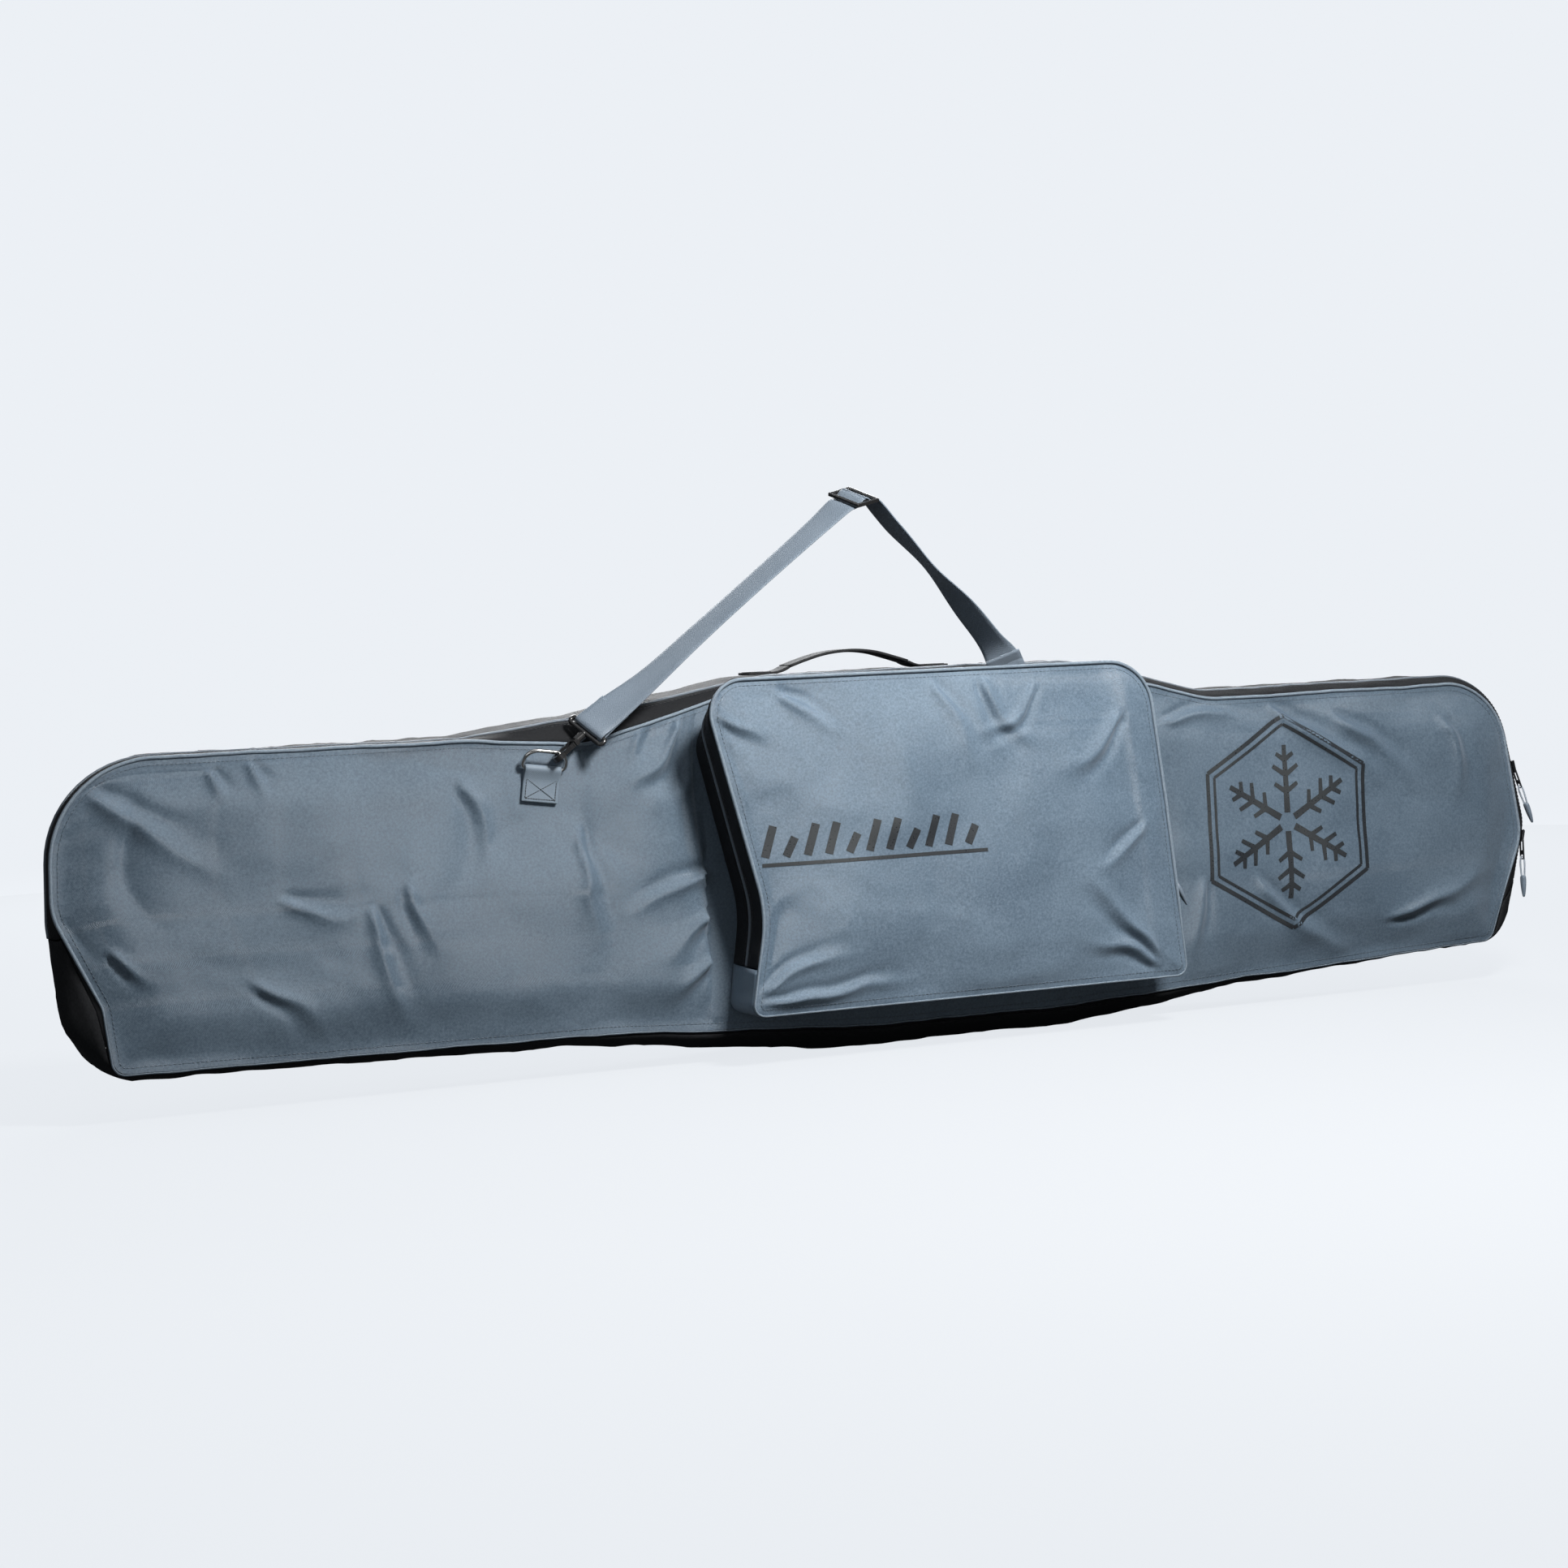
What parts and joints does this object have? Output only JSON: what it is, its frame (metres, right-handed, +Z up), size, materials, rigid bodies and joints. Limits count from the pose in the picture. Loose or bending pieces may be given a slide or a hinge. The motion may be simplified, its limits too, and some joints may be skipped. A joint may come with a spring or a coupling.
{
  "type": "snowboard bag",
  "caption": "Long padded soft bag for a snowboard, with a zip round its top, a zipped box pocket on the front, a clip-on shoulder strap and a grab handle.",
  "frame": {"origin": "middle of the bag's overall bounding box seen from above, on the plane that its bottom gusset rests on", "axes": "+X along the bag toward its zip pulls, -Y out of the front panel and pocket, +Z up"},
  "size_m": [1.647, 0.2071, 0.562],
  "materials": {
    "front_cloth": "satin coated weave",
    "gusset_cloth": "matt weave",
    "padding": "closed-cell padding",
    "lining": "thin smooth lining",
    "piping": "satin piping",
    "back_piping": "matt piping",
    "zip_tape": "ribbed tape with a coil",
    "strap_webbing": "woven webbing",
    "handle_webbing": "woven webbing",
    "steel": "polished",
    "hook_black": "gloss black",
    "black_plastic": "gloss black",
    "slider_metal": "dark satin",
    "pull_metal": "satin",
    "pull_cord": "braided cord",
    "pull_end": "moulded, matt"
  },
  "bodies": {
    "shell": {"back_foam": "padding", "back_lining": "lining", "back_panel": "gusset_cloth", "back_piping": "back_piping", "gusset_bottom": "gusset_cloth", "gusset_foam_bottom": "padding", "gusset_foam_top": "padding", "gusset_left_end": "gusset_cloth", "gusset_lining": "lining", "gusset_lower_left": "gusset_cloth", "gusset_lower_right": "gusset_cloth", "gusset_right_end": "gusset_cloth", "gusset_top": "gusset_cloth", "handle_anchor_left": "handle_webbing", "handle_anchor_right": "handle_webbing", "main_zip_rear_tape": "zip_tape", "zip_band_rear": "gusset_cloth"},
    "front_lid": {"front_panel": "front_cloth", "front_foam": "padding", "front_lining": "lining", "front_piping": "piping", "zip_band_front": "gusset_cloth", "main_zip_front_tape": "zip_tape", "pocket_gusset_rear": "gusset_cloth", "pocket_bottom_gusset": "front_cloth", "pocket_zip_rear_tape": "zip_tape", "dring_tab_left": "strap_webbing", "dring_tab_right": "strap_webbing"},
    "pocket_flap": {"pocket_front": "front_cloth", "pocket_gusset_front": "gusset_cloth", "pocket_zip_front_tape": "zip_tape", "pocket_piping": "piping"},
    "dring_left": {"dring_left": "steel"},
    "dring_right": {"dring_right": "steel"},
    "strap": {"strap_webbing_left": "strap_webbing", "strap_webbing_right": "strap_webbing", "hook_eye_left": "hook_black", "hook_eye_right": "hook_black", "strap_adjuster": "black_plastic"},
    "hook_left": {"hook_body_left": "hook_black"},
    "hook_right": {"hook_body_right": "hook_black"},
    "gate_left": {"hook_gate_left": "hook_black"},
    "gate_right": {"hook_gate_right": "hook_black"},
    "handle": {"handle_webbing": "handle_webbing"},
    "zip_slider_upper": {"main_slider_upper": "slider_metal"},
    "zip_slider_lower": {"main_slider_lower": "slider_metal"},
    "pocket_zip_slider": {"pocket_slider": "slider_metal"},
    "zip_pull_upper": {"main_slider_upper_tab": "pull_metal", "main_slider_upper_cord": "pull_cord", "main_slider_upper_end": "pull_end"},
    "zip_pull_lower": {"main_slider_lower_tab": "pull_metal", "main_slider_lower_cord": "pull_cord", "main_slider_lower_end": "pull_end"},
    "pocket_pull": {"pocket_slider_tab": "pull_metal", "pocket_slider_cord": "pull_cord", "pocket_slider_end": "pull_end"}
  },
  "joints": [
    {"name": "lid_open", "type": "hinge", "parent": "shell", "child": "front_lid", "pos_m": [0, -0.028, 0.022], "axis": [1, 0, 0], "range_deg": [0, 90]},
    {"name": "pocket_open", "type": "hinge", "parent": "front_lid", "child": "pocket_flap", "pos_m": [0.077, -0.092, 0.05], "axis": [1, 0, 0], "range_deg": [0, 85]},
    {"name": "strap_swing", "type": "hinge", "parent": "front_lid", "child": "strap", "pos_m": [-0.347, -0.0322, 0.299], "axis": [0.9998, 0, 0.0208], "range_deg": [0, 10]},
    {"name": "dring_left_swing", "type": "hinge", "parent": "front_lid", "child": "dring_left", "pos_m": [-0.347, -0.0322, 0.299], "axis": [0.9903, 0, -0.1392], "range_deg": [0, 10]},
    {"name": "dring_right_swing", "type": "hinge", "parent": "front_lid", "child": "dring_right", "pos_m": [0.182, -0.0322, 0.31], "axis": [0.9986, 0, -0.0523], "range_deg": [0, 10]},
    {"name": "hook_left_swivel", "type": "hinge", "parent": "strap", "child": "hook_left", "pos_m": [-0.30798, -0.04036, 0.32982], "axis": [0.796, 0.0302, 0.6046], "range_deg": [-5, 5]},
    {"name": "hook_right_swivel", "type": "hinge", "parent": "strap", "child": "hook_right", "pos_m": [0.15765, -0.05009, 0.35101], "axis": [-0.5081, -0.2845, 0.8129], "range_deg": [-5, 5]},
    {"name": "gate_left_press", "type": "hinge", "parent": "hook_left", "child": "gate_left", "pos_m": [-0.31946, -0.04649, 0.32109], "axis": [0.6048, 0, -0.7964], "range_deg": [0, 14], "stiffness_Nm_per_rad": 0.02, "springref_deg": -17.19},
    {"name": "gate_right_press", "type": "hinge", "parent": "hook_right", "child": "gate_right", "pos_m": [0.16593, -0.0514, 0.33776], "axis": [0.848, 0, 0.53], "range_deg": [0, 14], "stiffness_Nm_per_rad": 0.02, "springref_deg": -17.19},
    {"name": "handle_swing", "type": "hinge", "parent": "shell", "child": "handle", "pos_m": [0.012, 0.045, 0.385], "axis": [1, 0, 0], "range_deg": [-15, 15]},
    {"name": "zip_upper_slide", "type": "slide", "parent": "shell", "child": "zip_slider_upper", "axis": [-0.2247, 0, 0.9744], "range_m": [-0.02, 0.025]},
    {"name": "zip_lower_slide", "type": "slide", "parent": "shell", "child": "zip_slider_lower", "axis": [0.2129, 0, 0.9771], "range_m": [-0.02, 0]},
    {"name": "pocket_zip_slide", "type": "slide", "parent": "front_lid", "child": "pocket_zip_slider", "axis": [-0.111, 0, 0.9938], "range_m": [-0.04, 0.003]},
    {"name": "zip_pull_upper_swing", "type": "hinge", "parent": "zip_slider_upper", "child": "zip_pull_upper", "pos_m": [0.8099, -0.007, 0.23169], "axis": [0, -1, 0], "range_deg": [0, 80]},
    {"name": "zip_pull_lower_swing", "type": "hinge", "parent": "zip_slider_lower", "child": "zip_pull_lower", "pos_m": [0.81707, -0.007, 0.15296], "axis": [0, -1, 0], "range_deg": [0, 80]},
    {"name": "pocket_pull_swing", "type": "hinge", "parent": "pocket_zip_slider", "child": "pocket_pull", "pos_m": [0.311, -0.062, 0.1763], "axis": [0, -1, 0], "range_deg": [0, 65]}
  ],
  "couplings": [
    {"joint": "dring_left_swing", "follows": "strap_swing", "ratio": 1},
    {"joint": "dring_right_swing", "follows": "strap_swing", "ratio": 1}
  ]
}
